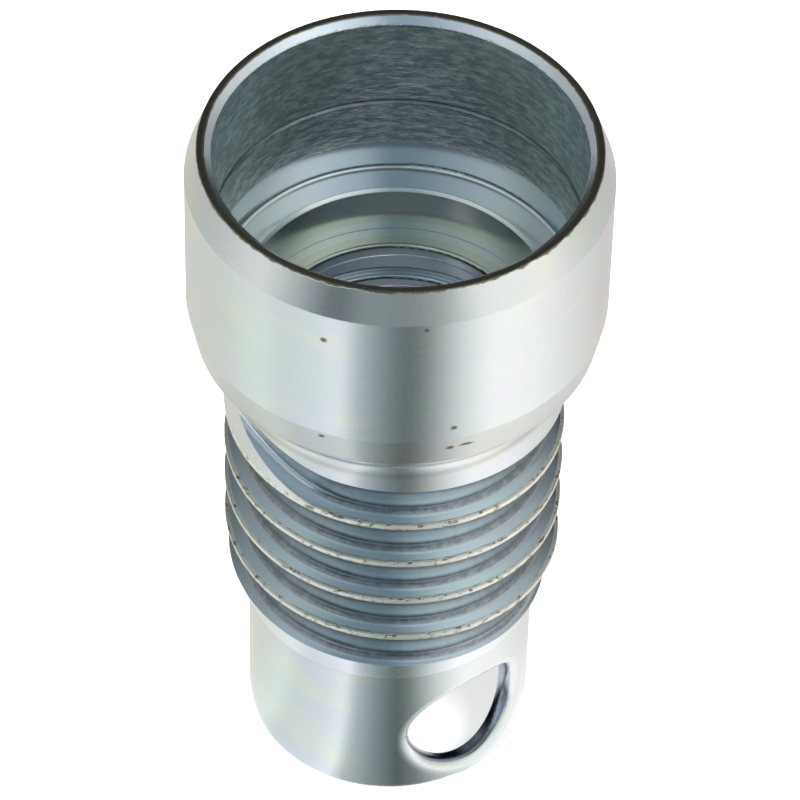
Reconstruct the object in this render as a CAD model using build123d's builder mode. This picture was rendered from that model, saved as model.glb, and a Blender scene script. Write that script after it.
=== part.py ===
from build123d import *
from math import cos, radians, sin, sqrt
import os

# Hollow steel adapter, turned in one piece and open at both ends. A bell with a smooth socket is on top,
# a neck and a coarse left-hand barbed thread are below it, and a plain sleeve with one cross hole is at the foot.
# Origin at the middle of the foot's end face, +Z up through the bell. The front is -Y and the right side is +X.
# Millimetres. Azimuths are in degrees, zero at the front and growing towards the right.

# Driving dimensions, outside
total_height = 91.6
bell_diameter = 48.3
rim_outer_diameter = 45.4
rim_chamfer_height = 3.95
bell_taper_top = 69.3
bell_corner_diameter = 46.6
bell_corner_height = 64.95
crest_diameter = 39.8
neck_foot_height = 58.05
cone_top_height = 28.3
cone_foot_height = 21.65
sleeve_diameter = 34.1
sleeve_edge_break = 0.4

# Driving dimensions, thread
thread_pitch = 6.35
thread_root_diameter = 35.4
first_crest_height = 50.6
crest_land = 0.55
root_fillet = 0.8
flank_hollow = 0.25
cutter_reach = 3.6
lead_in_start = -15.0
lead_in_end = -78.0
lead_in_rise = 8.4
lead_in_retreat = 4.6
lead_in_steps = 5
groove_runout = 1.5
groove_path_step = 15.0

# Driving dimensions, inside
mouth_diameter = 44.0
socket_diameter = 42.2
socket_floor_height = 68.2
socket_floor_fillet = 0.7
score_height = 78.8
score_width = 0.7
score_depth = 0.25
step_height = 72.5
step_depth = 0.1
throat_diameter = 34.8
throat_edge_break = 0.4
throat_floor_height = 61.9
bore_diameter = 29.2
lip_height = 2.1
lip_pitch = 5.1
lip_round = 0.5
inner_groove_diameter = 31.0
inner_groove_count = 2

# Driving dimensions, cross hole
hole_diameter = 14.3
hole_height = 9.2
hole_azimuth = 38.0
hole_edge_round = 1.5

# Worked out from the driving dimensions
bell_radius = bell_diameter / 2
crest_radius = crest_diameter / 2
root_radius = thread_root_diameter / 2
sleeve_radius = sleeve_diameter / 2
socket_radius = socket_diameter / 2
throat_radius = throat_diameter / 2
bore_radius = bore_diameter / 2
inner_groove_radius = inner_groove_diameter / 2
relief_radius = socket_radius + step_depth
mouth_depth = (mouth_diameter - socket_diameter) / 2


def neck_middle():
    """A point half way along the hollow that leads from the neck's foot to the bell's corner."""
    run = bell_corner_diameter / 2 - crest_radius
    rise = bell_corner_height - neck_foot_height
    radius = (run * run + rise * rise) / (2 * run)
    height = rise / 2
    return crest_radius + radius - sqrt(radius * radius - height * height), neck_foot_height + height


def outer_outline():
    """Half outline of the outside, as a solid of revolution down to the axis."""
    Polyline(
        (0, 0),
        (sleeve_radius - sleeve_edge_break, 0),
        (sleeve_radius, sleeve_edge_break),
        (sleeve_radius, cone_foot_height),
        (root_radius, cone_foot_height),
        (crest_radius, cone_top_height),
        (crest_radius, neck_foot_height),
    )
    ThreePointArc(
        (crest_radius, neck_foot_height),
        neck_middle(),
        (bell_corner_diameter / 2, bell_corner_height),
    )
    Polyline(
        (bell_corner_diameter / 2, bell_corner_height),
        (bell_radius, bell_taper_top),
        (bell_radius, total_height - rim_chamfer_height),
        (rim_outer_diameter / 2, total_height),
        (0, total_height),
        (0, 0),
    )


def inner_outline():
    """Half outline of the hollow, from the open mouth down to the open foot."""
    score_top = score_height + score_width / 2
    score_foot = score_height - score_width / 2
    Polyline(
        (0, total_height),
        (mouth_diameter / 2, total_height),
        (socket_radius, total_height - mouth_depth),
        (socket_radius, score_top),
        (socket_radius + score_depth, score_height),
        (socket_radius, score_foot),
        (socket_radius, step_height),
        (relief_radius, step_height - step_depth),
        (relief_radius, socket_floor_height + socket_floor_fillet),
    )
    TangentArc(
        (relief_radius, socket_floor_height + socket_floor_fillet),
        (relief_radius - socket_floor_fillet, socket_floor_height),
        tangent=(0, -1),
    )
    Polyline(
        (relief_radius - socket_floor_fillet, socket_floor_height),
        (throat_radius + throat_edge_break, socket_floor_height),
        (throat_radius, socket_floor_height - throat_edge_break),
        (throat_radius, throat_floor_height),
        (bore_radius + lip_round, throat_floor_height),
    )
    TangentArc(
        (bore_radius + lip_round, throat_floor_height),
        (bore_radius, throat_floor_height - lip_round),
        tangent=(-1, 0),
    )
    Polyline(
        (bore_radius, throat_floor_height - lip_round),
        (bore_radius, 0),
        (0, 0),
        (0, total_height),
    )


def inner_groove_outline(top):
    """Half outline of one groove in the bore, with the rounded edges of the lips above and below it."""
    foot = top - lip_pitch + lip_height
    TangentArc((bore_radius, top + lip_round), (bore_radius + lip_round, top), tangent=(0, -1))
    Polyline(
        (bore_radius + lip_round, top),
        (inner_groove_radius, top),
        (inner_groove_radius, foot),
        (bore_radius + lip_round, foot),
    )
    TangentArc((bore_radius + lip_round, foot), (bore_radius, foot - lip_round), tangent=(-1, 0))
    Line((bore_radius, foot - lip_round), (bore_radius, top + lip_round))


def around(radius, azimuth, height):
    """A point at an azimuth from the front."""
    return Vector(radius * sin(radians(azimuth)), -radius * cos(radians(azimuth)), height)


def cut_height(azimuth):
    """Height of the groove's lower flank: it falls to the right, and its start bends up under the bell."""
    height = first_crest_height + crest_land / 2 - thread_pitch * azimuth / 360
    if azimuth < lead_in_start:
        height += lead_in_rise * lead_in_share(azimuth) ** 2
    return height


def lead_in_share(azimuth):
    """Zero where the regular thread begins, one at the tip of its lead-in."""
    return (lead_in_start - azimuth) / (lead_in_start - lead_in_end)


def root_point(azimuth, retreat=0.0):
    """The foot of the groove's root at an azimuth, or that far outside it."""
    return around(root_radius + retreat, azimuth, cut_height(azimuth))


def section_plane(azimuth, retreat=0.0):
    """Upright plane through the axis, with its origin at the foot of the groove's root."""
    outward = around(1, azimuth, 0)
    return Plane(origin=root_point(azimuth, retreat), x_dir=outward, z_dir=outward.cross(Vector(0, 0, 1)))


def groove_outline():
    """Section of the groove: a flat lower flank, a rounded root and a long hollow upper flank."""
    depth = crest_radius - root_radius
    flank_top = thread_pitch - crest_land
    middle = (depth / 2 - flank_hollow, (root_fillet + flank_top) / 2)
    outer = depth + cutter_reach
    Line((outer, 0), (root_fillet, 0))
    TangentArc((root_fillet, 0), (0, root_fillet), tangent=(-1, 0))
    ThreePointArc((0, root_fillet), middle, (depth, flank_top))
    Polyline((depth, flank_top), (outer, flank_top), (outer, 0))


# Azimuth at which the groove has run out below the cone, counted on through the turns
groove_fall = cut_height(lead_in_start) - cone_foot_height + groove_runout
groove_end = lead_in_start + 360 * groove_fall / thread_pitch
path_steps = round((groove_end - lead_in_start) / groove_path_step)
path_step = (groove_end - lead_in_start) / path_steps


with BuildPart() as adapter_body:
    with BuildSketch(Plane.XZ):
        with BuildLine():
            outer_outline()
        make_face()
    revolve(axis=Axis.Z)
    with BuildSketch(Plane.XZ):
        with BuildLine():
            inner_outline()
        make_face()
    revolve(axis=Axis.Z, mode=Mode.SUBTRACT)
    with BuildSketch(Plane.XZ):
        for groove in range(inner_groove_count):
            with BuildLine():
                inner_groove_outline(throat_floor_height - lip_height - groove * lip_pitch)
            make_face()
    revolve(axis=Axis.Z, mode=Mode.SUBTRACT)

    with BuildPart(mode=Mode.PRIVATE) as thread_groove:
        # Regular turns of the left-hand groove, from below the cone up to the lead-in
        with BuildSketch(section_plane(groove_end)):
            with BuildLine():
                groove_outline()
            make_face()
        with BuildLine(mode=Mode.PRIVATE) as run:
            Spline([root_point(groove_end - step * path_step) for step in range(path_steps + 1)])
        sweep(path=run.line, is_frenet=True)

        # Lead-in, where the groove climbs towards the bell and leaves the metal
        sections = [thread_groove.faces().filter_by(GeomType.PLANE).sort_by(Axis.Z)[-1]]
        for step in range(1, lead_in_steps + 1):
            share = step / lead_in_steps
            azimuth = lead_in_start + (lead_in_end - lead_in_start) * share
            with BuildSketch(section_plane(azimuth, lead_in_retreat * share ** 3), mode=Mode.PRIVATE) as section:
                with BuildLine():
                    groove_outline()
                make_face()
            sections.append(section.sketch.face())
        loft(sections)
    add(thread_groove.part, mode=Mode.SUBTRACT)

    # Cross hole in the sleeve
    hole_direction = around(1, hole_azimuth, 0)
    with BuildSketch(Plane(origin=(0, 0, hole_height), z_dir=hole_direction)):
        Circle(hole_diameter / 2)
    extrude(amount=bell_diameter, mode=Mode.SUBTRACT)
    hole_edges = adapter_body.edges(Select.LAST)
    outer_hole_edge = hole_edges.sort_by(lambda edge: edge.center().dot(hole_direction))[-1]
    fillet(outer_hole_edge, radius=hole_edge_round)

adapter_body.part.label = "adapter_body"
os.makedirs("parts", exist_ok=True)
export_step(adapter_body.part, "parts/adapter_body.step")
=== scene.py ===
import math

import bpy
from mathutils import Matrix, Vector

# A turned and zinc plated adapter fitting on a pale floor in soft studio light. The shape is the CAD mesh
# itself. Lengths are in metres, and in millimetres where the material begins. Azimuths go round the
# object's axis, zero at the front (-Y) and growing towards the right (+X).

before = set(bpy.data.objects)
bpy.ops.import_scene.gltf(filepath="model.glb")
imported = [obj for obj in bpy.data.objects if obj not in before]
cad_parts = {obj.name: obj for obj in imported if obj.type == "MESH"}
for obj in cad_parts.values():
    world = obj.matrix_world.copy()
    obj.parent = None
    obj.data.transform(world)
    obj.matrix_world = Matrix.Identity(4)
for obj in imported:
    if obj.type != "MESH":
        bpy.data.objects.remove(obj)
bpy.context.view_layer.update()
scene = bpy.context.scene
scene.view_settings.view_transform = "Standard"


# Node helpers


def new_node(tree, kind, **settings):
    made = tree.nodes.new(kind)
    for key, value in settings.items():
        setattr(made, key, value)
    return made


def feed(tree, socket, value):
    """Links an output into a socket, or sets a plain value on it."""
    if isinstance(value, bpy.types.NodeSocket):
        tree.links.new(value, socket)
    else:
        socket.default_value = value


def maths(tree, operation, *values):
    made = new_node(tree, "ShaderNodeMath", operation=operation)
    for socket, value in zip(made.inputs, values):
        feed(tree, socket, value)
    return made.outputs[0]


def vector_maths(tree, operation, first, second):
    made = new_node(tree, "ShaderNodeVectorMath", operation=operation)
    feed(tree, made.inputs[0], first)
    made.inputs[1].default_value = second
    return made.outputs[0]


def ramp(tree, value, stops, interpolation="LINEAR"):
    made = new_node(tree, "ShaderNodeValToRGB")
    feed(tree, made.inputs[0], value)
    made.color_ramp.interpolation = interpolation
    elements = made.color_ramp.elements
    while len(elements) < len(stops):
        elements.new(0.5)
    for element, (place, colour) in zip(elements, stops):
        element.position = place
        element.color = (*colour, 1)
    return made.outputs[0]


def blend(tree, share, first, second, mode="MIX"):
    made = new_node(tree, "ShaderNodeMix", data_type="RGBA", blend_type=mode)
    feed(tree, made.inputs[0], share)
    for socket, value in ((made.inputs[6], first), (made.inputs[7], second)):
        feed(tree, socket, (*value, 1) if isinstance(value, tuple) else value)
    return made.outputs[2]


def mix_value(tree, share, first, second):
    made = new_node(tree, "ShaderNodeMix", data_type="FLOAT")
    for place, value in ((0, share), (2, first), (3, second)):
        feed(tree, made.inputs[place], value)
    return made.outputs[0]


def grey(level):
    return (level, level, level)


def coordinates(tree, source):
    split = new_node(tree, "ShaderNodeSeparateXYZ")
    feed(tree, split.inputs[0], source)
    return split.outputs


def off_axis(tree, x, y):
    """Distance from the object's axis."""
    squares = maths(tree, "ADD", maths(tree, "MULTIPLY", x, x), maths(tree, "MULTIPLY", y, y))
    return maths(tree, "SQRT", squares)


def azimuth_of(tree, x, y):
    """Azimuth in radians."""
    return maths(tree, "ARCTAN2", x, maths(tree, "MULTIPLY", y, -1.0))


def bearing(tree, x, y):
    """Share of a turn, from behind the object round its left, front and right."""
    return maths(tree, "MULTIPLY_ADD", azimuth_of(tree, x, y), 1 / math.tau, 0.5)


# Camera, at the photograph's angle


FOCAL_PIXELS = 5207.3
FRAME_PIXELS = 800
CAMERA_PITCH = math.radians(46.343)
CAMERA_ROLL = math.radians(1.475)
CAMERA_DISTANCE = 0.6073
CAMERA_CLIP = 0.01
TARGET = Vector((0.000633, 0, 0.05092))


def add_camera():
    forward = Vector((0, math.cos(CAMERA_PITCH), -math.sin(CAMERA_PITCH)))
    level_up = Vector((0, math.sin(CAMERA_PITCH), math.cos(CAMERA_PITCH)))
    level_right = Vector((1, 0, 0))
    right = level_right * math.cos(CAMERA_ROLL) + level_up * math.sin(CAMERA_ROLL)
    up = level_up * math.cos(CAMERA_ROLL) - level_right * math.sin(CAMERA_ROLL)
    made = bpy.data.objects.new("camera", bpy.data.cameras.new("camera"))
    scene.collection.objects.link(made)
    made.data.lens = made.data.sensor_width * FOCAL_PIXELS / FRAME_PIXELS
    made.data.clip_start = CAMERA_CLIP
    turn = Matrix((right, up, -forward)).transposed().to_4x4()
    made.matrix_world = Matrix.Translation(TARGET - forward * CAMERA_DISTANCE) @ turn
    scene.camera = made


add_camera()


# Studio. Each list gives tones by bearing, which is 0.5 at the front.


# The floor near the object, as the metal mirrors it
SURROUND = (
    (0.00, (0.64, 0.62, 0.62)),
    (0.15, (0.84, 0.81, 0.76)),
    (0.24, (0.90, 0.92, 0.84)),
    (0.31, (1.06, 1.12, 1.08)),
    (0.345, (0.92, 0.96, 0.97)),
    (0.40, (1.04, 1.08, 1.14)),
    (0.43, (1.28, 1.30, 1.32)),
    (0.448, (0.66, 0.72, 0.74)),
    (0.48, (0.34, 0.40, 0.42)),
    (0.515, (0.13, 0.16, 0.16)),
    (0.54, (0.28, 0.31, 0.31)),
    (0.59, (1.02, 1.04, 1.04)),
    (0.63, (1.48, 1.44, 1.42)),
    (0.70, (1.38, 1.34, 1.31)),
    (0.77, (1.08, 1.05, 1.02)),
    (0.86, (0.82, 0.76, 0.74)),
    (1.00, (0.64, 0.62, 0.62)),
)
# The far floor and the lowest part of the sky
HORIZON = (
    (0.00, (0.40, 0.38, 0.40)),
    (0.15, (0.50, 0.48, 0.50)),
    (0.25, (0.80, 0.80, 0.78)),
    (0.32, (1.10, 1.10, 1.05)),
    (0.38, (0.50, 0.54, 0.56)),
    (0.42, (0.12, 0.15, 0.17)),
    (0.46, (0.36, 0.40, 0.42)),
    (0.52, (0.30, 0.33, 0.34)),
    (0.56, (0.50, 0.52, 0.52)),
    (0.61, (1.30, 1.28, 1.24)),
    (0.70, (1.35, 1.30, 1.22)),
    (0.78, (0.85, 0.84, 0.78)),
    (0.88, (0.45, 0.43, 0.44)),
    (1.00, (0.40, 0.38, 0.40)),
)
# The sky above it
SKY = (
    (0.00, (0.05, 0.05, 0.06)),
    (0.12, (0.25, 0.26, 0.27)),
    (0.22, (0.55, 0.58, 0.58)),
    (0.34, (0.85, 0.90, 0.92)),
    (0.42, (0.62, 0.70, 0.76)),
    (0.46, (0.40, 0.50, 0.58)),
    (0.52, (0.30, 0.40, 0.48)),
    (0.57, (0.90, 1.00, 1.06)),
    (0.66, (1.30, 1.34, 1.34)),
    (0.78, (0.90, 0.90, 0.90)),
    (0.90, (0.25, 0.26, 0.27)),
    (1.00, (0.05, 0.05, 0.06)),
)
# Sines of the elevations between which one tone gives way to the next
HORIZON_TO_SKY = ((0.12, grey(0.0)), (0.4, grey(1.0)))
SKY_TO_ZENITH = ((0.75, grey(0.0)), (0.98, grey(1.0)))
ZENITH = grey(0.12)
WORLD_LIGHT = grey(0.75)
BACKDROP = grey(1.0)


def add_world():
    world = bpy.data.worlds.new("studio")
    scene.world = world
    world.use_nodes = True
    tree = world.node_tree
    tree.nodes.clear()
    x, y, height = coordinates(tree, new_node(tree, "ShaderNodeTexCoord").outputs["Generated"])
    turn = bearing(tree, x, y)
    low_sky = ramp(tree, turn, HORIZON, "EASE")
    high_sky = ramp(tree, turn, SKY, "EASE")
    mirrored = blend(tree, ramp(tree, height, HORIZON_TO_SKY, "EASE"), low_sky, high_sky)
    mirrored = blend(tree, ramp(tree, height, SKY_TO_ZENITH, "EASE"), mirrored, ZENITH)
    path = new_node(tree, "ShaderNodeLightPath")
    shown = blend(tree, path.outputs["Is Glossy Ray"], WORLD_LIGHT, mirrored)
    shown = blend(tree, path.outputs["Is Camera Ray"], shown, BACKDROP)
    back = new_node(tree, "ShaderNodeBackground")
    feed(tree, back.inputs["Color"], shown)
    feed(tree, new_node(tree, "ShaderNodeOutputWorld").inputs[0], back.outputs[0])


add_world()


def stage_object(name, points, faces, material):
    mesh = bpy.data.meshes.new(name)
    mesh.from_pydata(points, [], faces)
    made = bpy.data.objects.new(name, mesh)
    scene.collection.objects.link(made)
    mesh.materials.append(material)
    return made


def new_material(name):
    made = bpy.data.materials.new(name)
    made.use_nodes = True
    made.node_tree.nodes.clear()
    return made, made.node_tree


def close_material(tree, shader):
    feed(tree, new_node(tree, "ShaderNodeOutputMaterial").inputs[0], shader)


FLOOR_HALF = 3.0
FLOOR_TONE = 0.6
FLOOR_GLOW = 0.7


def floor_material():
    """Pale and matt, with a glow that only direct looks and mirrors see, so the shadow stays."""
    made, tree = new_material("pale_floor")
    path = new_node(tree, "ShaderNodeLightPath")
    seen = maths(tree, "MAXIMUM", path.outputs["Is Camera Ray"], path.outputs["Is Glossy Ray"])
    seen = maths(tree, "MAXIMUM", seen, path.outputs["Is Transmission Ray"])
    matt = new_node(tree, "ShaderNodeBsdfDiffuse")
    matt.inputs["Color"].default_value = (*grey(FLOOR_TONE), 1)
    glow = new_node(tree, "ShaderNodeEmission")
    glow.inputs["Color"].default_value = (*grey(1.0), 1)
    feed(tree, glow.inputs["Strength"], maths(tree, "MULTIPLY", seen, FLOOR_GLOW))
    joined = new_node(tree, "ShaderNodeAddShader")
    feed(tree, joined.inputs[0], matt.outputs[0])
    feed(tree, joined.inputs[1], glow.outputs[0])
    close_material(tree, joined.outputs[0])
    return made


floor_corners = [(FLOOR_HALF * x, FLOOR_HALF * y, 0) for x, y in ((-1, -1), (1, -1), (1, 1), (-1, 1))]
stage_object("floor", floor_corners, [(0, 1, 2, 3)], floor_material())


# A ring card on the floor, which only the metal's mirror images see
CARD_INNER = 0.0175
CARD_OUTER = 2.9
CARD_HEIGHT = 0.0003
CARD_STEPS = 96
# Distances from the axis between which the near tones give way to the far ones
NEAR_TO_FAR = ((0.12, grey(0.0)), (0.32, grey(1.0)))
# A dim ring under the bell's taper
TAPER_SHADE = ((0.036, grey(1.0)), (0.046, (0.74, 0.70, 0.68)), (0.062, grey(1.0)))


def card_material():
    made, tree = new_material("reflector")
    x, y, _ = coordinates(tree, new_node(tree, "ShaderNodeTexCoord").outputs["Object"])
    turn = bearing(tree, x, y)
    away = off_axis(tree, x, y)
    far = ramp(tree, away, NEAR_TO_FAR, "EASE")
    shade = blend(tree, far, ramp(tree, turn, SURROUND), ramp(tree, turn, HORIZON))
    glow = new_node(tree, "ShaderNodeEmission")
    taper = ramp(tree, away, TAPER_SHADE, "EASE")
    feed(tree, glow.inputs["Color"], blend(tree, 1.0, shade, taper, "MULTIPLY"))
    close_material(tree, glow.outputs[0])
    return made


def ring_points(radius):
    turns = [math.tau * step / CARD_STEPS for step in range(CARD_STEPS)]
    return [(radius * math.cos(turn), radius * math.sin(turn), CARD_HEIGHT) for turn in turns]


def ring_face(step):
    after = (step + 1) % CARD_STEPS
    return step, CARD_STEPS + step, CARD_STEPS + after, after


card = stage_object(
    "reflector",
    ring_points(CARD_INNER) + ring_points(CARD_OUTER),
    [ring_face(step) for step in range(CARD_STEPS)],
    card_material(),
)
card.visible_camera = False
card.visible_diffuse = False
card.visible_shadow = False
card.visible_transmission = False


LAMP_AIM = Vector((0, 0, 0.04))
LAMP_SIZE = 0.6
# Name, place and watts
LAMPS = (
    ("left_lamp", (-0.7, -0.35, 0.75), 9),
    ("right_lamp", (0.65, -0.45, 0.8), 9),
    ("back_lamp", (0.0, 0.75, 0.9), 6),
)


def soft_lamp(name, place, watts):
    data = bpy.data.lights.new(name, "AREA")
    data.shape = "DISK"
    data.size = LAMP_SIZE
    data.energy = watts
    made = bpy.data.objects.new(name, data)
    made.location = place
    made.rotation_mode = "QUATERNION"
    made.rotation_quaternion = (Vector(place) - LAMP_AIM).to_track_quat("Z", "Y")
    made.visible_glossy = False
    scene.collection.objects.link(made)


for lamp in LAMPS:
    soft_lamp(*lamp)


# Zinc plated steel. Lengths in this part of the script are in millimetres.


MILLIMETRES = 1000.0
RAMP_SPAN = 100.0

# Lower height of each zone of the hollow, and a radius just outside its inner surface
HOLLOW = ((0.0, 16.2), (61.8, 17.6), (68.1, 22.25))
ROUGH_WALL = (73.0, 91.1)
# Heights of a shallow score groove, whose shade is painted as a dark band
SCORE_SHADE_HEIGHTS = (78.4, 79.2)
THROAT = (61.0, 68.0)
# Heights over which painted shade darkens the bottom of the bore
DEPTH_SHADE_HEIGHTS = (50.0, 61.8)

THREAD_PITCH = 6.35
THREAD_SPAN = (24.5, 57.9)
FIRST_FLANK = 50.875
ABOVE_FIRST_FLANK = (0.25, 0.45)
# How far above a crest's flank its land ends and begins again, the root's fillet, and their radii
LAND_END = (0.1, 0.3)
LAND_START = (5.45, 5.65)
LAND_RADIUS = (19.35, 19.6)
ROOT_END = (0.55, 1.0)
ROOT_RADIUS = (17.9, 18.3)
GROOVE_RADIUS = (19.3, 19.75)

RIM_HEIGHT = (91.30, 91.5)
RIM_RADIUS = (21.8, 21.95)
RIM_RAGGEDNESS = 0.7

# Spots on the bell: azimuth, height, half width, half height, radius, colour
SPOTS = (
    (-19.0, 84.0, 0.5, 0.4, 24.1, (0.20, 0.14, 0.07)),
    (8.0, 87.0, 0.35, 0.3, 24.1, (0.45, 0.20, 0.06)),
    (-19.5, 68.5, 0.45, 0.35, 24.0, (0.12, 0.11, 0.08)),
    (16.0, 71.0, 0.5, 0.35, 24.1, (0.16, 0.14, 0.10)),
    (15.5, 67.5, 0.55, 0.4, 23.8, (0.14, 0.12, 0.08)),
    (20.0, 67.6, 1.0, 0.3, 23.8, (0.18, 0.16, 0.10)),
)
SPOT_DEPTH_SHARE = 1.6
SPOT_RAGGEDNESS = 1.2
SPOT_EDGE = (0.9, 1.7)

# Heights of the relief
GRAIN_RELIEF = 0.0025
LATHE_RELIEF = 0.003
WALL_RELIEF = 0.10
NICK_RELIEF = -0.12
EDGE_RELIEF = 0.10
WORN_EDGE = 0.0002


def step_up(tree, value, low, high):
    """Zero below low, one above high, smooth between them."""
    made = new_node(tree, "ShaderNodeMapRange", interpolation_type="SMOOTHSTEP")
    for socket, number in zip(made.inputs, (value, low, high, 0.0, 1.0)):
        feed(tree, socket, number)
    return made.outputs[0]


def opposite(tree, mask):
    return maths(tree, "SUBTRACT", 1.0, mask)


def step_down(tree, value, low, high):
    return opposite(tree, step_up(tree, value, low, high))


def band(tree, value, low, high, soft):
    rise = step_up(tree, value, low - soft, low + soft)
    fall = step_up(tree, value, high - soft, high + soft)
    return maths(tree, "SUBTRACT", rise, fall)


def both(tree, *masks):
    product = masks[0]
    for mask in masks[1:]:
        product = maths(tree, "MULTIPLY", product, mask)
    return product


def noise(tree, place, across, along, detail, rough, shift=0.0):
    """Noise with one size across the axis and another along it, in features to the millimetre."""
    spread = new_node(tree, "ShaderNodeMapping")
    feed(tree, spread.inputs[0], place)
    spread.inputs["Location"].default_value = grey(shift)
    spread.inputs["Scale"].default_value = (across, across, along)
    made = new_node(tree, "ShaderNodeTexNoise")
    feed(tree, made.inputs["Vector"], spread.outputs[0])
    made.inputs["Scale"].default_value = 1.0
    made.inputs["Detail"].default_value = detail
    made.inputs["Roughness"].default_value = rough
    return made.outputs[0]


def in_millimetres(tree):
    metres = new_node(tree, "ShaderNodeTexCoord").outputs["Object"]
    scaled = new_node(tree, "ShaderNodeVectorMath", operation="SCALE")
    feed(tree, scaled.inputs[0], metres)
    scaled.inputs["Scale"].default_value = MILLIMETRES
    return scaled.outputs[0]


def hollow_mask(tree, radius, z):
    """One on the inner surfaces."""
    stops = [(height / RAMP_SPAN, grey(reach / RAMP_SPAN)) for height, reach in HOLLOW]
    limit = ramp(tree, maths(tree, "MULTIPLY", z, 1 / RAMP_SPAN), stops, "CONSTANT")
    return maths(tree, "LESS_THAN", maths(tree, "MULTIPLY", radius, 1 / RAMP_SPAN), limit)


def thread_masks(tree, x, y, z, radius, outside):
    """The land of the crests, the foot of the root, and the whole groove."""
    threaded = both(tree, outside, band(tree, z, *THREAD_SPAN, 0.4))
    rise = maths(tree, "MULTIPLY_ADD", azimuth_of(tree, x, y), THREAD_PITCH / math.tau, z)
    climb = maths(tree, "SUBTRACT", rise, FIRST_FLANK)
    phase = maths(tree, "WRAP", climb, THREAD_PITCH, 0.0)
    on_land = maths(
        tree, "MAXIMUM", step_up(tree, phase, *LAND_START), step_down(tree, phase, *LAND_END)
    )
    below_lead = step_down(tree, climb, *ABOVE_FIRST_FLANK)
    crest = both(tree, threaded, below_lead, on_land, step_up(tree, radius, *LAND_RADIUS))
    root = both(
        tree,
        threaded,
        step_down(tree, phase, *ROOT_END),
        step_down(tree, radius, *ROOT_RADIUS),
    )
    return crest, root, both(tree, threaded, step_down(tree, radius, *GROOVE_RADIUS))


def spot_mask(tree, place, rag, azimuth, height, half_width, half_height, radius):
    turn = math.radians(azimuth)
    centre = (radius * math.sin(turn), -radius * math.cos(turn), height)
    sizes = (half_width, half_width * SPOT_DEPTH_SHARE, half_height)
    reach = new_node(tree, "ShaderNodeVectorMath", operation="LENGTH")
    shifted = vector_maths(tree, "SUBTRACT", place, centre)
    feed(tree, reach.inputs[0], vector_maths(tree, "DIVIDE", shifted, sizes))
    wide = maths(
        tree, "ADD", reach.outputs["Value"], maths(tree, "MULTIPLY", rag, SPOT_RAGGEDNESS)
    )
    return step_down(tree, wide, *SPOT_EDGE)


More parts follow.
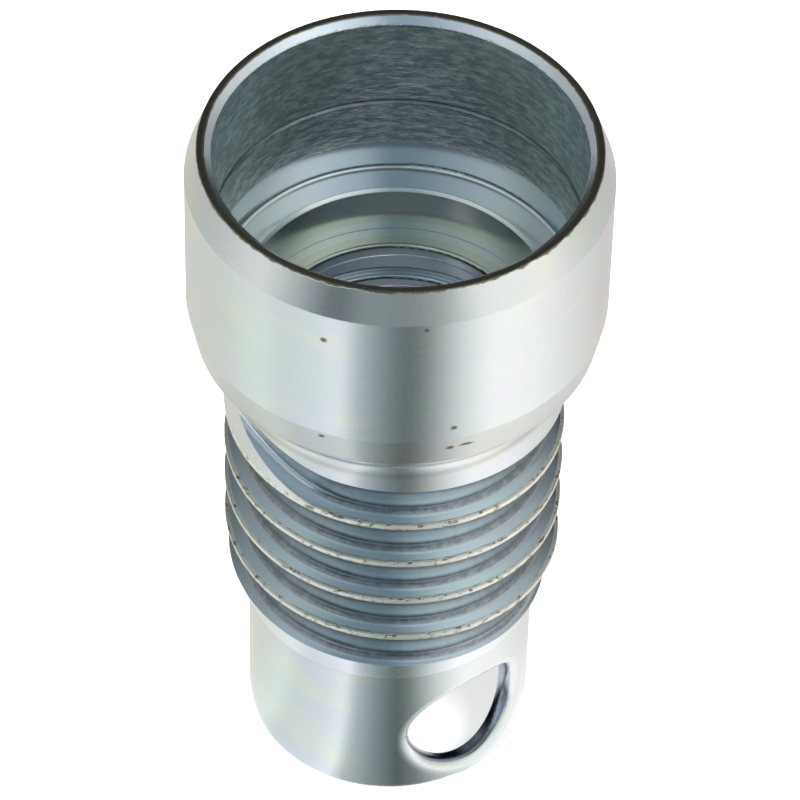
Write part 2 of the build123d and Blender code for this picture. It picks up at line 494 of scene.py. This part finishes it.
def zinc_material(name):
    made, tree = new_material(name)
    place = in_millimetres(tree)
    x, y, z = coordinates(tree, place)
    radius = off_axis(tree, x, y)

    grain = noise(tree, place, 2.2, 2.6, 4.0, 0.6)
    lathe = noise(tree, place, 0.12, 7.0, 3.0, 0.6, 3.0)
    cloud = noise(tree, place, 0.16, 0.13, 3.0, 0.5, 11.0)
    tide = noise(tree, place, 0.10, 0.22, 2.0, 0.5, 29.0)
    rag = noise(tree, place, 0.9, 0.9, 3.0, 0.6, 41.0)
    nick_and_shade_noise = noise(tree, place, 1.1, 2.0, 3.0, 0.65, 57.0)
    mottle = noise(tree, place, 0.55, 1.5, 4.0, 0.65, 73.0)

    inside = hollow_mask(tree, radius, z)
    outside = opposite(tree, inside)
    rough_wall = both(tree, inside, band(tree, maths(tree, "ADD", z, rag), *ROUGH_WALL, 0.2))
    # Painted shade of a shallow score groove in the wall
    score_shade = both(tree, inside, band(tree, z, *SCORE_SHADE_HEIGHTS, 0.3))
    throat = both(tree, inside, band(tree, z, *THROAT, 0.15))
    # Painted shade, darker towards the bottom of the bore
    depth_shade = both(tree, inside, step_down(tree, z, *DEPTH_SHADE_HEIGHTS))
    crest, root, groove = thread_masks(tree, x, y, z, radius, outside)
    nick = both(tree, crest, step_up(tree, nick_and_shade_noise, 0.56, 0.64))
    # Patches of painted shade in the thread's root
    patchy_root_shade = both(tree, root, step_up(tree, nick_and_shade_noise, 0.38, 0.62))
    waver = maths(tree, "MULTIPLY", maths(tree, "SUBTRACT", rag, 0.5), RIM_RAGGEDNESS)
    ragged = maths(tree, "ADD", z, waver)
    rim = both(tree, step_up(tree, ragged, *RIM_HEIGHT), step_up(tree, radius, *RIM_RADIUS))

    # Plating, in bluish and yellowish clouds
    colour = blend(tree, step_up(tree, cloud, 0.35, 0.65), (0.585, 0.66, 0.64), (0.60, 0.625, 0.67))
    yellowish = both(tree, step_up(tree, tide, 0.5, 0.7), outside)
    colour = blend(tree, yellowish, colour, (0.64, 0.67, 0.60))
    fleck = maths(tree, "MULTIPLY", step_up(tree, grain, 0.3, 0.75), 0.5)
    colour = blend(tree, fleck, colour, (0.66, 0.69, 0.68))

    # Thread, with painted shade in the root and a painted highlight on the crests
    colour = blend(tree, maths(tree, "MULTIPLY", groove, 0.7), colour, (0.60, 0.68, 0.72))
    # Painted shade: the root of the thread is darkened, with extra patches of painted shade
    root_shade = maths(tree, "MULTIPLY_ADD", patchy_root_shade, 0.15, maths(tree, "MULTIPLY", root, 0.7))
    colour = blend(tree, root_shade, colour, (0.08, 0.09, 0.11))
    # The pale cream crest band is partly the crests' own tone and partly a painted highlight along the
    # rounded crest edge
    colour = blend(tree, crest, colour, (0.80, 0.80, 0.72))
    colour = blend(tree, maths(tree, "MULTIPLY", nick, 0.8), colour, (0.20, 0.15, 0.09))

    # Hollow, with painted shade in the score and towards the bottom of the bore
    wall = blend(tree, step_up(tree, mottle, 0.38, 0.66), (0.50, 0.57, 0.58), (0.86, 0.92, 0.90))
    colour = blend(tree, inside, colour, (0.62, 0.68, 0.72))
    colour = blend(tree, rough_wall, colour, wall)
    # Painted shade: the score groove is drawn as a dark band
    colour = blend(tree, score_shade, colour, (0.18, 0.22, 0.24))
    colour = blend(tree, throat, colour, (0.56, 0.60, 0.54))
    # Painted shade deep in the bore
    colour = blend(tree, maths(tree, "MULTIPLY", depth_shade, 0.7), colour, (0.30, 0.34, 0.38))

    # Rim and spots
    colour = blend(tree, rim, colour, (0.17, 0.16, 0.12))
    for *shape, spot_colour in SPOTS:
        colour = blend(tree, spot_mask(tree, place, rag, *shape), colour, spot_colour)

    # Finish
    edges = maths(tree, "MAXIMUM", crest, rim)
    rough = maths(tree, "MULTIPLY_ADD", grain, 0.08, 0.15)
    rough = mix_value(tree, rough_wall, rough, 0.34)
    rough = mix_value(tree, edges, rough, 0.42)

    relief = maths(tree, "MULTIPLY", grain, GRAIN_RELIEF)
    relief = maths(tree, "MULTIPLY_ADD", lathe, LATHE_RELIEF, relief)
    relief = maths(tree, "MULTIPLY_ADD", both(tree, rough_wall, mottle), WALL_RELIEF, relief)
    relief = maths(tree, "MULTIPLY_ADD", nick, NICK_RELIEF, relief)
    relief = maths(tree, "MULTIPLY_ADD", both(tree, edges, rag), EDGE_RELIEF, relief)
    worn = new_node(tree, "ShaderNodeBevel", samples=4)
    worn.inputs["Radius"].default_value = WORN_EDGE
    bump = new_node(tree, "ShaderNodeBump")
    bump.inputs["Strength"].default_value = 1.0
    bump.inputs["Distance"].default_value = 1 / MILLIMETRES
    feed(tree, bump.inputs["Height"], relief)
    feed(tree, bump.inputs["Normal"], worn.outputs[0])

    shader = new_node(tree, "ShaderNodeBsdfPrincipled")
    shader.inputs["Metallic"].default_value = 1.0
    shader.inputs["Anisotropic"].default_value = 0.6
    tangent = new_node(tree, "ShaderNodeTangent", direction_type="RADIAL", axis="Z")
    feed(tree, shader.inputs["Base Color"], colour)
    feed(tree, shader.inputs["Roughness"], rough)
    feed(tree, shader.inputs["Tangent"], tangent.outputs[0])
    feed(tree, shader.inputs["Normal"], bump.outputs[0])
    close_material(tree, shader.outputs[0])
    return made


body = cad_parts["adapter_body"]
body.data.materials.clear()
body.data.materials.append(zinc_material("zinc_plated_steel"))
